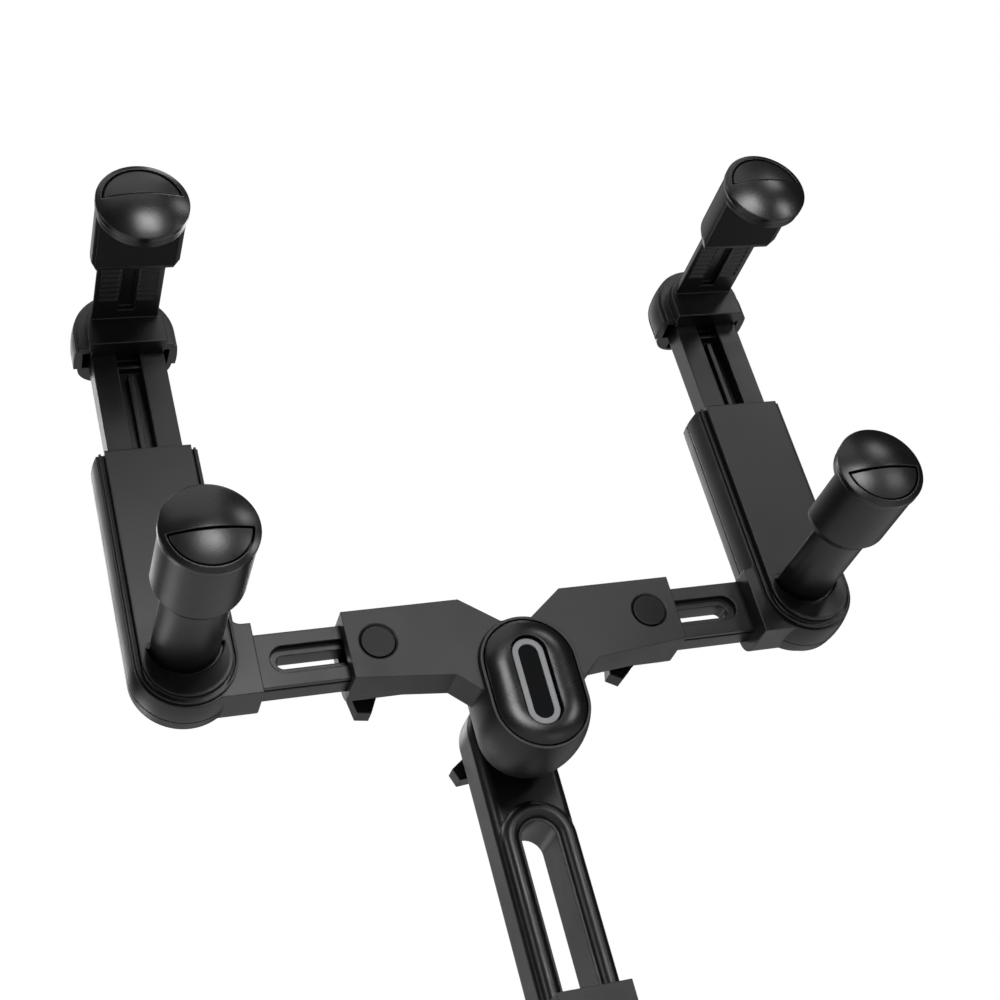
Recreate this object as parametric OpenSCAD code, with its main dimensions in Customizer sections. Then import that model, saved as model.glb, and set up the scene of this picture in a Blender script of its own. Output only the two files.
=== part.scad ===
// Rear-view mirror phone mount.
// Four jaws on a telescoping frame grip the mirror, and an arm under the
// hub carries a phone cradle. X is to the right, Y to the back, Z up.
// The origin is on the arm's swivel axis, in the front face of the yoke.

/* [Yoke] */
// Half the length of the yoke, from the swivel axis to a wing tip
wing_reach = 43.5; // [40:0.5:50]
// Height of a wing's sleeve at its tip
wing_h = 17.8; // [17.4:0.1:19.5]
// Depth of a wing's sleeve, front to back
wing_d = 15.2; // [14.5:0.1:18]
// Height of the rails' centre line above the swivel axis
rail_z = 16.3; // [16:0.1:17.2]
// Width of the hub's front rim
hub_w = 25; // [24:0.5:27]
// Distance between the hub's two round ends
hub_straight = 10.8; // [9:0.2:12]
// Depth of the hub behind the yoke's front face
hub_d = 19.4; // [18.5:0.1:20]

/* [Rails] */
// Height of a horizontal rail
rail_h = 14.2; // [13:0.1:14.4]
// Thickness of a horizontal rail
rail_t = 7.2; // [6.4:0.1:7.4]
// How far the left rail stands out of its wing
rail_out_left = 22.7; // [18:0.1:26]
// How far the right rail stands out of its wing
rail_out_right = 21.3; // [18:0.1:26]
// Distance from the left corner's socket mouth to its posts
neck_left = 16.5; // [14.4:0.1:18]
// Distance from the right corner's socket mouth to its posts
neck_right = 15.4; // [14.4:0.1:18]
// Distance from a wing's lock screw to the wing tip
lock_inset = 7.6; // [7.2:0.1:8.4]
// Diameter of a lock screw's shank
lock_d = 3; // [2.4:0.1:3.2]

/* [Corners and risers] */
// Width of a corner sleeve at its front edge
sleeve_w = 24.1; // [23:0.1:26]
// Depth of a corner sleeve behind its rim
sleeve_d = 16.6; // [15:0.1:18]
// Height of a sleeve's top above the swivel axis
sleeve_top = 73.6; // [66:0.1:76]
// Width of a vertical rail
riser_w = 18.4; // [17:0.1:19]
// Thickness of a vertical rail
riser_t = 6.4; // [5.6:0.1:7.2]
// Height of the left upper post above its sleeve
riser_out_left = 36.5; // [24:0.1:38]
// Height of the right upper post above its sleeve
riser_out_right = 35.1; // [24:0.1:38]

/* [Posts and jaws] */
// Diameter of a post's round back
post_d = 17.3; // [16:0.1:17.6]
// Distance from a post's axis to its toothed flat
flat_offset = 1.96; // [1.8:0.02:2.6]
// Pitch of the ratchet teeth
tooth_pitch = 1.9; // [1.4:0.1:2.4]
// Distance from the yoke's front face to a jaw's rim
jaw_out = 53.2; // [49:0.1:58]
// Length of a jaw behind its cap
jaw_len = 21.6; // [20.5:0.1:23]
// Diameter of a jaw's cap
cap_d = 22; // [21.4:0.1:25]
// Height of the dome on a cap
dome_h = 2.2; // [1.6:0.1:2.8]
// Thickness of a jaw's rubber pad
pad_t = 1; // [0.6:0.05:1.2]
// How far a release button can be pressed
press = 1.6; // [0.8:0.1:1.7]

/* [Arm] */
// Width of the arm
arm_w = 20.9; // [19:0.1:23]
// Thickness of the arm
arm_t = 13.2; // [11:0.1:15]
// Distance from the swivel axis to the arm's lower round end
arm_len = 88; // [84:1:94]
// Width of the slot along the arm
slot_w = 9.4; // [8:0.1:10]
// Diameter of the swivel bolt
pivot_d = 5; // [4:0.1:5.6]

/* [Cradle] */
// Width of the phone cradle's body
cradle_w = 62; // [58:1:80]
// Height of the phone cradle's body
cradle_h = 44; // [40:1:60]
// Thickness of the phone cradle's body
cradle_t = 13; // [12:0.5:18]
// How far each clamp arm stands out of the body
clamp_out = 4; // [2:0.5:8]
// Diameter of the tilt hinge's pin
tilt_d = 4; // [3:0.1:5]

/* [Fits] */
// Clearance between parts that slide on each other
slide_gap = 0.25; // [0.2:0.01:0.3]
// Radial clearance of a turning fit
turn_gap = 0.05; // [0.02:0.01:0.1]
// Clearance of a part seated in its recess
seat_gap = 0.1; // [0.05:0.01:0.15]

/* [Hidden] */
$fn = 96;
eps = 0.01;

left = -1;
right = 1;
lower = -1;
upper = 1;

// Yoke
wing_top = rail_z + wing_h / 2;
wing_bottom = rail_z - wing_h / 2;
wing_knee = 18.7;
notch_x = 13.5;
notch_z = 18;
hub_r = hub_w / 2;
hub_z = hub_straight / 2;
hub_rim_y = -1.4;
hub_bulge = 1.2;
hub_arc = 30;
hub_round = 2.6;
cap_gap = 0.4;
rim_w = 0.7;
hub_cap_r = hub_r - rim_w - cap_gap;
hub_floor_y = 3;
ring_r = 4.07;
ring_w = 1.5;
ring_gap = 0.6;
ring_recess_r = ring_r - 0.5;
ring_half = hub_z + 2.1;
ring_y = -1.7;
window_y = -1.3;
cap_crown = 1.3;
ring_floor_y = 1.4;
wing_round = 5;
cover_t = 4;
split_y = wing_d - cover_t;
rail_y = split_y - slide_gap - rail_t;
rail_slot_r = 3.6;
rail_hole_r = 1.8;
rail_step = 2;
rail_slot_end = wing_reach + 14.9;
rail_in = 19.5;
rail_groove = 0.7;
rail_seat = 6;
lock_x = wing_reach - lock_inset;
plug_r = 4.1;
plug_rim_r = 4.9;
plug_t = 1.1;
head_r = 3.2;
head_t = 1.1;

// Corners: the sleeve's round end is centred on the rails' centre line
rim_y = -3;
shell_y = -2;
face_y = -4.4;
sleeve_r = sleeve_w / 2;
side_bulge = 1.1;
side_arc = 30;
seam = 0.4;
seam_y = 4.6;
shell_back = shell_y + sleeve_d;
shell_round = 6;
riser_y = -1.2;
plate_r = sleeve_r - 1.45;
groove_w = 0.75;
groove_d = 0.8;
sleeve_floor = rail_z + 10.7;
riser_in = 19;
neck_fillet = 3;
socket_root = 4;
socket_bottom = rail_z - 10.7;
socket_top = rail_z + 7.6;
socket_d = wing_d - 2;
riser_slot_r = 3;
riser_slot_d = 4.2;
rib_w = 1.4;
rib_sink = 1.8;
tab_t = 0.9;
tab_drop = 4.2;
lower_post_z = rail_z + 4.6;
post_x_left = wing_reach + rail_out_left + neck_left;
post_x_right = wing_reach + rail_out_right + neck_right;

// End brackets
bracket_face_y = -6.2;
bridge_drop = 5.8;
bridge_r = 9.8;
skirt = 4.8;
bracket_wall = 1.1;
bracket_back = 11.5;
riser_over = 4.5;

// Posts and jaws: u is across, v points away from the mirror
post_r = post_d / 2;
post_tip = jaw_out - 13.2;
base_gap = 0.8;
base_gap_d = 1.9;
groove_half = 2;
post_groove = 1.5;
tooth_depth = 0.5;
tooth_first = 13;
tooth_w = 4.5;
cap_r = cap_d / 2;
cap_t = 1.6;
dome_r = (cap_r * cap_r + dome_h * dome_h) / (2 * dome_h);
jaw_r = cap_r - 0.25;
jaw_lip = 1.9;
jaw_taper = 3;
jaw_taper_r = 1.3;
jaw_flat = flat_offset - 3.26;
pad_half = 9.5;
jaw_block = 4.8;
button_well = 1.7;
button_r = cap_r - 2;
button_v = 1.3;
button_sink = 0.3;
button_gap = 0.5;
button_t = 1.3;
stem_r = 1.5;
stem_v = 5.4;
spring_r = 2.6;
spring_wire = 0.4;
spring_turns = 3;
spring_seat = 1.2;
pawl_t = 0.7;
pawl_half = 7;
pawl_len = 12;

// Knobs
knob_y = wing_d + 0.4;
knob_hub_r = 4.6;
knob_hub_t = 9.6;
knob_blade_t = 4.4;
knob_blade_root = 7;
knob_blade_tip = 3.6;
rail_blade = 9.2;
rail_knob_turn_left = -9;
rail_knob_turn_right = -31;
arm_blade = 11.8;
arm_knob_turn = -20;
arm_knob_t = 7.6;

// Arm
arm_r = arm_w / 2;
arm_y = 24.6;
arm_back = arm_y + arm_t;
arm_round = 2.5;
boss_r = 8.5;
washer_t = 1.4;
slot_r = slot_w / 2;
arm_end = 8;
slot_top = -30.4;
slot_bottom = -arm_len + arm_end;
arch_h = 1.7;
arch_round = 2.4;
arm_knob_y = arm_back + 0.4;

// Carriage and cradle
carriage_z = slot_bottom + 1.3;
carriage_h = 16;
carriage_w = 19;
carriage_t = 7;
carriage_y = arm_y - arch_h - slide_gap - carriage_t;
tilt_y = carriage_y - 3.5;
tilt_z = -118;
tilt_r = 5;
lug_t = 4.5;
knuckle_half = 4.8;
tilt_gap = 0.3;
hinge_w = 2 * (knuckle_half + tilt_gap + lug_t);
guide_d = 5;
cradle_back = tilt_y - tilt_r - 0.8;
cradle_z = tilt_z - 8;
cover_wall = 2;
clamp_t = 3;
clamp_y = cradle_back - cover_wall - clamp_t - slide_gap;
clamp_h = 22;
clamp_root = 21;
clamp_lip_t = 3.5;
clamp_lip = 3;
clamp_front = 12;
bar_h = 5;
bar_len = 34;
foot_w = 24;
foot_t = 3;
foot_out = 12;

black = [0.09, 0.09, 0.1];
satin = [0.14, 0.14, 0.15];
rubber = [0.05, 0.05, 0.05];
steel = [0.62, 0.63, 0.65];

function post_x(side) = side == left ? post_x_left : post_x_right;
function neck(side) = side == left ? neck_left : neck_right;
function riser_out(side) = side == left ? riser_out_left : riser_out_right;
function upper_z(side) = sleeve_top + riser_out(side);
function post_z(side, level) = level == lower ? lower_post_z : upper_z(side);

// Places a corner's shape: x then runs inward from the post's axis
module at_side(side) {
    translate([side * post_x(side), 0, 0]) mirror([side == right ? 1 : 0, 0, 0]) children();
}

// Places a jaw's shape: its axis on the post, z pointing away from the mirror
module at_post(side, level) {
    translate([side * post_x(side), 0, post_z(side, level)])
        mirror([0, 0, level == lower ? 1 : 0]) mirror([side == right ? 1 : 0, 0, 0]) children();
}

// A cylinder along Y from y0 to y1
module y_cylinder(r, y0, y1) {
    translate([0, y1, 0]) rotate([90, 0, 0]) cylinder(r = r, h = y1 - y0);
}

// A cylinder along X, centred
module x_cylinder(r, h) {
    rotate([0, 90, 0]) cylinder(r = r, h = h, center = true);
}

// A solid of stadium outline in XZ, from y0 to y1, between two round ends
module stadium_z(r, z0, z1, y0, y1) {
    for (z = [z0, z1]) translate([0, 0, z]) y_cylinder(r, y0, y1);
    translate([-r, y0, z0]) cube([2 * r, y1 - y0, z1 - z0]);
}

module stadium_x(r, x0, x1, y0, y1) {
    for (x = [x0, x1]) translate([x, 0, 0]) y_cylinder(r, y0, y1);
    translate([x0, y0, -r]) cube([x1 - x0, y1 - y0, 2 * r]);
}

// Revolves the profile about an axis along Y, below it or above it
module half_turn_y(below) {
    rotate([-90, 0, 0]) mirror([0, below ? 0 : 1, 0]) rotate_extrude(angle = 180) children();
}

// Half of a bulging section with a rounded back corner: x is the radius, y the depth
module bulged_half(r, bulge, arc, y0, y1, round) {
    mid = (y0 + y1) / 2;
    intersection() {
        translate([0, y0]) square([r + bulge + 1, y1 - y0]);
        translate([r + bulge - arc, mid - 2]) circle(r = arc);
        union() {
            translate([0, y0]) square([r + bulge + 1, y1 - y0 - round]);
            translate([0, y0]) square([r - round, y1 - y0]);
            translate([r - round, y1 - round]) circle(r = round);
            translate([r - round, y1 - round]) square([round + bulge + 1, eps]);
        }
    }
}

module yoke_outline() {
    knee_z = wing_bottom - 2.4;
    polygon([[-wing_reach, wing_top], [-notch_x, wing_top], [-4, notch_z], [4, notch_z],
        [notch_x, wing_top], [wing_reach, wing_top], [wing_reach, wing_bottom], [wing_knee, knee_z],
        [notch_x, 0.3], [-notch_x, 0.3], [-wing_knee, knee_z], [-wing_reach, wing_bottom]]);
}

// The yoke's wings with their rounded back edges
module wings(y0, y1) {
    intersection() {
        translate([0, y1, 0]) rotate([90, 0, 0]) linear_extrude(y1 - y0) yoke_outline();
        rotate([90, 0, 90]) linear_extrude(2 * wing_reach, center = true) wing_section();
    }
}

module wing_section() {
    low = wing_bottom - 16;
    difference() {
        translate([0, low]) square([wing_d, wing_top - low]);
        corner_cut(wing_d, wing_top, 1);
        corner_cut(wing_d, wing_bottom - 0.8, -1);
        translate([split_y - 1, low - 1]) square([wing_d, wing_bottom - 0.8 - low + 1]);
    }
}

// Rounds off a section's corner at the back, above or below
module corner_cut(y, z, up) {
    difference() {
        translate([y - wing_round, up > 0 ? z - wing_round : z])
            square([wing_round + 1, wing_round + 1 - eps]);
        translate([y - wing_round, z - up * wing_round]) circle(r = wing_round);
    }
}

module drum() {
    for (end = [0, 1]) translate([0, 0, end == 0 ? hub_z : -hub_z])
        half_turn_y(end == 1) drum_profile();
    translate([0, 0, -hub_z]) linear_extrude(2 * hub_z) {
        drum_profile();
        mirror([1, 0]) drum_profile();
    }
}

module drum_profile() {
    bulged_half(hub_r, hub_bulge, hub_arc, hub_rim_y, hub_d, hub_round);
}

module yoke_front() {
    color(satin) difference() {
        union() {
            wings(0, split_y);
            drum();
        }
        for (side = [left, right]) mirror([side == left ? 1 : 0, 0, 0]) {
            translate([notch_x + 1.5, rail_y - slide_gap, rail_z - rail_h / 2 - slide_gap])
                cube([wing_reach, rail_t + 3, rail_h + 2 * slide_gap]);
            translate([lock_x, 0, rail_z]) {
                y_cylinder(plug_r + seat_gap, -1, plug_t + head_t + seat_gap);
                y_cylinder(lock_d / 2 + turn_gap, -1, wing_d);
                rotate([-90, 0, 0]) translate([0, 0, -eps])
                    cylinder(r1 = plug_rim_r, r2 = plug_r + seat_gap, h = 0.7);
            }
        }
        stadium_z(hub_cap_r + cap_gap, -hub_z, hub_z, hub_rim_y - 1, hub_floor_y);
        y_cylinder(pivot_d / 2 + turn_gap, 0, hub_d + 1);
        y_cylinder(pivot_d / 2 + 2.2, 0, hub_floor_y + 3.2);
    }
}

module back_cover(side) {
    color(satin) mirror([side == left ? 1 : 0, 0, 0]) difference() {
        intersection() {
            wings(split_y, wing_d);
            translate([hub_r + hub_bulge + seat_gap, 0, -50]) cube([wing_reach, wing_d + 1, 100]);
        }
        translate([lock_x, 0, rail_z]) y_cylinder(lock_d / 2 + turn_gap, 0, wing_d + 1);
        stadium_z(hub_r + hub_bulge + seat_gap, -hub_z, hub_z, 0, wing_d + 1);
    }
}

module hub_cap() {
    top_x = ring_r + 2;
    front = hub_rim_y - cap_crown;
    arc = ((hub_cap_r - top_x) * (hub_cap_r - top_x) + cap_crown * cap_crown) / (2 * cap_crown);
    module profile() {
        intersection() {
            translate([ring_recess_r, front])
                square([hub_cap_r - ring_recess_r, hub_floor_y - front]);
            union() {
                translate([top_x, front + arc]) circle(r = arc);
                translate([ring_recess_r, hub_rim_y])
                    square([hub_cap_r - ring_recess_r, hub_floor_y - hub_rim_y]);
            }
        }
    }
    color(black) difference() {
        union() {
            for (end = [0, 1]) translate([0, 0, end == 0 ? hub_z : -hub_z]) half_turn_y(end == 1) profile();
            translate([0, 0, -hub_z]) linear_extrude(2 * hub_z) {
                profile();
                mirror([1, 0]) profile();
            }
            stadium_z(ring_recess_r + 1, -hub_z, hub_z, ring_floor_y, hub_floor_y);
        }
        stadium_z(ring_r + ring_gap, -ring_half, ring_half, hub_rim_y - 2, ring_floor_y);
    }
}

module hub_ring() {
    color([0.72, 0.73, 0.74]) difference() {
        stadium_z(ring_r, -ring_half, ring_half, ring_y, ring_floor_y);
        stadium_z(ring_r - ring_w, -ring_half, ring_half, ring_y - 1, ring_floor_y + 1);
    }
}

module hub_window() {
    color(black)
        stadium_z(ring_r - ring_w - seat_gap, -ring_half, ring_half, window_y, ring_floor_y);
}

module screw_plugs() {
    for (side = [left, right]) translate([side * lock_x, 0, rail_z])
        color(satin) y_cylinder(plug_r, 0.1, plug_t);
}

module lock_screws() {
    for (side = [left, right]) translate([side * lock_x, 0, rail_z]) color(steel) {
        y_cylinder(head_r, plug_t, plug_t + head_t);
        y_cylinder(lock_d / 2, plug_t, knob_y + knob_hub_t - 1);
    }
}

// A thumb knob with two tapered blades, bored for its screw
module wing_knob(bore, blade, hub_t) {
    blade_y = hub_t - knob_blade_t;
    difference() {
        union() {
            y_cylinder(knob_hub_r, 0, hub_t);
            for (end = [0, 180]) rotate([0, end, 0])
                translate([0, blade_y + knob_blade_t, 0]) rotate([90, 0, 0]) linear_extrude(knob_blade_t)
                    polygon([[-knob_blade_root / 2, 0], [-knob_blade_root / 2, -blade * 0.45],
                        [-knob_blade_tip / 2, -blade], [knob_blade_tip / 2, -blade],
                        [knob_blade_root / 2, -blade * 0.45], [knob_blade_root / 2, 0]]);
        }
        y_cylinder(bore / 2 + turn_gap, -1, hub_t - 0.8);
    }
}

module rail_knob(side) {
    turn = side == left ? rail_knob_turn_left : rail_knob_turn_right;
    color(black) translate([side * lock_x, knob_y, rail_z]) rotate([0, -turn, 0])
        wing_knob(lock_d, rail_blade, knob_hub_t);
}

// A horizontal rail, from inside its wing to its seat in the corner
module rail(side) {
    out = side == left ? rail_out_left : rail_out_right;
    tip = wing_reach + out;
    inner = wing_reach - rail_in;
    slot0 = inner + 6;
    color(satin) mirror([side == left ? 1 : 0, 0, 0]) translate([0, 0, rail_z]) difference() {
        translate([inner, rail_y, -rail_h / 2]) cube([tip + rail_seat - inner, rail_t, rail_h]);
        stadium_x(rail_slot_r, slot0, rail_slot_end, rail_y - 1, rail_y + rail_step);
        stadium_x(rail_hole_r, slot0, rail_slot_end, rail_y, rail_y + rail_t + 1);
        for (z = [-rail_h / 2 - 1, rail_h / 2 - rail_groove])
            translate([inner - 1, rail_y + 1.2, z]) cube([tip + 10, 0.9, rail_groove + 1]);
    }
}

module shell_half(y0, back) {
    difference() {
        bulged_half(sleeve_r, side_bulge, side_arc, y0, back, shell_round);
        translate([sleeve_r + side_bulge - seam, seam_y]) square([2, seam]);
    }
}

// The socket on a corner that holds the rail's end, with a fillet up to the sleeve
module socket_block(side) {
    mouth = neck(side);
    translate([socket_root, 0, 0]) rotate([90, 0, 90]) linear_extrude(mouth - socket_root)
        difference() {
            translate([shell_y, socket_bottom]) square([socket_d - shell_y, socket_top - socket_bottom]);
            corner_cut(socket_d, socket_top, 1);
            corner_cut(socket_d, socket_bottom, -1);
        }
    translate([sleeve_r - 0.5, shell_y, socket_top - eps]) difference() {
        cube([neck_fillet, socket_d - wing_round - shell_y, neck_fillet]);
        translate([neck_fillet, 0, neck_fillet]) y_cylinder(neck_fillet, -1, socket_d - shell_y);
    }
}

module corner_shell(side) {
    cavity = riser_w / 2 + slide_gap;
    pocket = cavity - 2.5;
    color(black) at_side(side) difference() {
        union() {
            translate([0, 0, rail_z]) half_turn_y(true) shell_half(shell_y, shell_back);
            translate([0, 0, rail_z]) linear_extrude(sleeve_top - rail_z) {
                shell_half(shell_y, shell_back);
                mirror([1, 0]) shell_half(shell_y, shell_back);
            }
            socket_block(side);
        }
        translate([-cavity, shell_y - 1, sleeve_floor])
            cube([2 * cavity, riser_y + riser_t + slide_gap - shell_y + 1, sleeve_top]);
        translate([-pocket, shell_y - 1, sleeve_floor])
            cube([2 * pocket, shell_back - 2.2 - shell_y + 1, sleeve_top - sleeve_floor - 2.5]);
        translate([neck(side) - rail_seat, rail_y, rail_z - rail_h / 2]) cube([10, rail_t, rail_h]);
    }
}

// The front cover of a sleeve: a rim, a groove and a raised plate
module front_cover_low(z0, z1, plate, face, tongue) {
    difference() {
        union() {
            sleeve_slab(sleeve_r - 0.12, z0, z1, rim_y, shell_y);
            sleeve_slab(plate, z0, z1, face, rim_y + eps);
        }
        difference() {
            sleeve_slab(plate + groove_w, z0, z1 + 1, rim_y - 0.1, rim_y + groove_d);
            sleeve_slab(plate, z0 - 1, z1 + 2, rim_y - 1, rim_y + 2);
        }
    }
    translate([-riser_w / 2, shell_y - eps, z0 + 12]) cube([riser_w, tongue, z1 - z0 - 12]);
}

// A slab with a round lower end centred at z0
module sleeve_slab(r, z0, z1, y0, y1) {
    translate([0, 0, z0]) y_cylinder(r, y0, y1);
    translate([-r, y0, z0]) cube([2 * r, y1 - y0, z1 - z0]);
}

// A post with a toothed flat, its axis along Y, its round back towards +z
module post(root) {
    teeth = floor((post_tip - tooth_first - 2) / tooth_pitch);
    difference() {
        intersection() {
            y_cylinder(post_r, -post_tip, root);
            translate([-post_r, -post_tip - 1, flat_offset])
                cube([2 * post_r, post_tip + root + 2, post_r]);
        }
        translate([-groove_half, -post_tip - 1, flat_offset - 1])
            cube([2 * groove_half, post_tip - 8.5, post_groove + 1]);
        for (i = [0:teeth - 1], end = [-1, 1])
            translate([end * (groove_half + (tooth_w + 1) / 2), -tooth_first - (i + 1) * tooth_pitch,
                    flat_offset])
                rotate([90, 0, 90]) linear_extrude(tooth_w, center = true)
                    polygon([[0, -eps], [tooth_pitch * 0.25, tooth_depth], [tooth_pitch * 0.9, -eps]]);
    }
}

module corner_front(side) {
    dish_r = plate_r - 0.7;
    color(satin) {
        difference() {
            at_side(side) front_cover_low(rail_z, sleeve_top, plate_r, face_y, 0.5);
            at_side(side) translate([0, 0, rail_z]) intersection() {
                rotate([-90, 0, 0]) translate([0, 0, face_y - eps])
                    cylinder(r1 = dish_r, r2 = dish_r - 4.5, h = 0.7);
                translate([-20, -20, -20]) cube([40, 40, 24]);
            }
            at_post(side, lower) half_moon(post_r + base_gap, flat_offset, face_y - 1, face_y + base_gap_d);
        }
        at_post(side, lower) post(shell_y);
    }
}

module riser(side) {
    top = upper_z(side) + riser_over;
    bottom = sleeve_top - riser_in;
    slot_end = upper_z(side) - bridge_drop + 1;
    tab = slot_end - tab_drop;
    color(satin) at_side(side) difference() {
        translate([-riser_w / 2, riser_y, bottom]) cube([riser_w, riser_t, top - bottom]);
        difference() {
            translate([-riser_slot_r, riser_y - 1, bottom + 3])
                cube([2 * riser_slot_r, riser_slot_d + 1, slot_end - bottom - 3]);
            translate([-rib_w / 2, riser_y + rib_sink, bottom])
                cube([rib_w, riser_t, tab - bottom - 2]);
            translate([-riser_slot_r - 1, riser_y + rib_sink, tab])
                cube([2 * riser_slot_r + 2, riser_t, tab_t]);
        }
    }
}

// The cap that wraps a riser's top end, open below beside the riser
module bracket_shell(side) {
    z = upper_z(side);
    slot = riser_w / 2 + seat_gap / 2;
    wall_x = sleeve_r - bracket_wall;
    color(black) at_side(side) difference() {
        union() {
            translate([0, 0, z]) half_turn_y(false) shell_half(shell_y, bracket_back);
            translate([0, 0, z - skirt]) linear_extrude(skirt) {
                shell_half(shell_y, bracket_back);
                mirror([1, 0]) shell_half(shell_y, bracket_back);
            }
        }
        translate([-slot, shell_y - 1, z - skirt - 1])
            cube([2 * slot, riser_y + riser_t - shell_y + 1, skirt + riser_over + 1]);
        translate([-wall_x, shell_y + bracket_wall, z - skirt - 1])
            cube([2 * wall_x, riser_y + riser_t - shell_y - bracket_wall, skirt + 1]);
        translate([-slot + 1.5, shell_y + bracket_wall, z - skirt - 1])
            cube([2 * slot - 3, bracket_back - 2 * bracket_wall - shell_y, skirt + 1]);
    }
}

module bracket_front(side) {
    z = upper_z(side);
    color(satin) {
        at_side(side) {
            bracket_slab(sleeve_r - 0.12, z, z - skirt, rim_y, shell_y);
            bracket_slab(bridge_r, z, z - bridge_drop, bracket_face_y, rim_y + eps);
            translate([-riser_w / 2, rim_y, z - bridge_drop])
                cube([riser_w, riser_y - rim_y + eps, bridge_drop + riser_over]);
        }
        at_post(side, upper) post(bracket_face_y + 1);
    }
}

// A slab with a round upper end centred at z1
module bracket_slab(r, z1, z0, y0, y1) {
    intersection() {
        translate([0, 0, z1]) y_cylinder(r, y0, y1);
        translate([-r, y0, z1 - 1]) cube([2 * r, y1 - y0, r + 1]);
    }
    translate([-r, y0, z0]) cube([2 * r, y1 - y0, z1 - z0]);
}

// The part of a disc of radius r beyond the button's straight edge
module half_moon(r, v, y0, y1) {
    intersection() {
        y_cylinder(r, y0, y1);
        translate([-r, y0 - 1, v]) cube([2 * r, y1 - y0 + 2, r]);
    }
}

module jaw(side, level) {
    front = -jaw_out + cap_t;
    back = front + jaw_len;
    bore = post_r + slide_gap;
    color(black) at_post(side, level) difference() {
        union() {
            intersection() {
                union() {
                    y_cylinder(jaw_r, front, back - jaw_taper);
                    rotate([-90, 0, 0]) translate([0, 0, back - jaw_taper - eps])
                        cylinder(r1 = jaw_r, r2 = jaw_r - jaw_taper_r, h = jaw_taper);
                }
                translate([-jaw_r, front - 1, jaw_flat]) cube([2 * jaw_r, jaw_len + 2, 2 * jaw_r]);
            }
            y_cylinder(jaw_r, front, front + jaw_lip);
        }
        intersection() {
            y_cylinder(bore, front + jaw_block, back + 1);
            translate([-bore, front, flat_offset - slide_gap]) cube([2 * bore, jaw_len + 2, bore]);
        }
        translate([-pad_half - seat_gap, front + jaw_lip, jaw_flat - 1])
            cube([2 * (pad_half + seat_gap), jaw_len - jaw_lip - 0.9, pad_t + 1]);
        half_moon(button_r + button_gap, button_v - button_gap, front - 1, front + button_well);
        translate([-pawl_half - seat_gap, front + jaw_block, flat_offset - slide_gap - pawl_t - 0.4])
            cube([2 * (pawl_half + seat_gap), pawl_len + 0.4, pawl_t + 1]);
        translate([0, 0, stem_v]) {
            y_cylinder(spring_r + 0.2, front, front + jaw_block - 1);
            y_cylinder(stem_r + 0.3, front, front + jaw_block + 1);
        }
    }
}

module pad(side, level) {
    front = -jaw_out + cap_t + jaw_lip;
    color(rubber) at_post(side, level)
        translate([-pad_half, front, jaw_flat]) cube([2 * pad_half, jaw_len - jaw_lip - 1, pad_t]);
}

module cap(side, level) {
    color(black) at_post(side, level) difference() {
        union() {
            y_cylinder(cap_r, -jaw_out, -jaw_out + cap_t);
            dome(0);
        }
        half_moon(button_r + button_gap, button_v - button_gap, -jaw_out - dome_h - 1, -jaw_out + cap_t + 1);
    }
}

// The domed front of a cap, sunk by the given depth
module dome(sink) {
    intersection() {
        translate([0, -jaw_out - dome_h + dome_r + sink, 0]) sphere(r = dome_r);
        y_cylinder(cap_r, -jaw_out - dome_h, -jaw_out + sink + eps);
    }
}

module button(side, level) {
    color(black) at_post(side, level) {
        intersection() {
            dome(button_sink);
            half_moon(button_r, button_v, -jaw_out - dome_h, -jaw_out + 0.2);
        }
        half_moon(button_r, button_v, -jaw_out + 0.1, -jaw_out + button_t);
        translate([0, 0, stem_v])
            y_cylinder(stem_r, -jaw_out + 1, -jaw_out + cap_t + jaw_block - press - 0.2);
    }
}

// Points of a coil wound about Y: rings of a small polygon along a helix
module coil(r, wire, pitch, turns) {
    sides = 6;
    per_turn = 16;
    steps = turns * per_turn;
    points = [for (i = [0:steps], k = [0:sides - 1]) let (a = 360 * i / per_turn, b = 360 * k / sides)
        [(r + wire * cos(b)) * cos(a), wire * sin(b) + pitch * i / per_turn, (r + wire * cos(b)) * sin(a)]];
    walls = [for (i = [0:steps - 1], k = [0:sides - 1], half = [0, 1]) let (n = (k + 1) % sides)
        half == 0 ? [i * sides + k, i * sides + n, (i + 1) * sides + n]
            : [i * sides + k, (i + 1) * sides + n, (i + 1) * sides + k]];
    start = [[for (k = [sides - 1:-1:0]) k]];
    end = [[for (k = [0:sides - 1]) steps * sides + k]];
    polyhedron(points, concat(walls, start, end));
}

module spring(side, level) {
    start = -jaw_out + cap_t + button_well + spring_wire / 2;
    pitch = (jaw_block - button_well - spring_seat - spring_wire) / spring_turns;
    color(steel) at_post(side, level) translate([0, start, stem_v])
        coil(spring_r - spring_wire / 2 - 0.1, spring_wire / 2, pitch, spring_turns);
}

// The leaf that catches the teeth, drawn lifted clear of them
module pawl(side, level) {
    front = -jaw_out + cap_t + jaw_block;
    color(steel) at_post(side, level) translate([-pawl_half, front, flat_offset - slide_gap - pawl_t - 0.4])
        cube([2 * pawl_half, pawl_len, pawl_t]);
}

module pivot_bolt() {
    head = pivot_d / 2 + 2;
    color(steel) {
        y_cylinder(head, hub_floor_y + 0.2, hub_floor_y + 3.2);
        y_cylinder(pivot_d / 2, hub_floor_y + 0.2, arm_knob_y + arm_knob_t - 1);
    }
}

module pivot_washer() {
    color(rubber) difference() {
        y_cylinder(boss_r, hub_d, hub_d + washer_t);
        y_cylinder(pivot_d / 2 + seat_gap, hub_d - 1, hub_d + washer_t + 1);
    }
}

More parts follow.
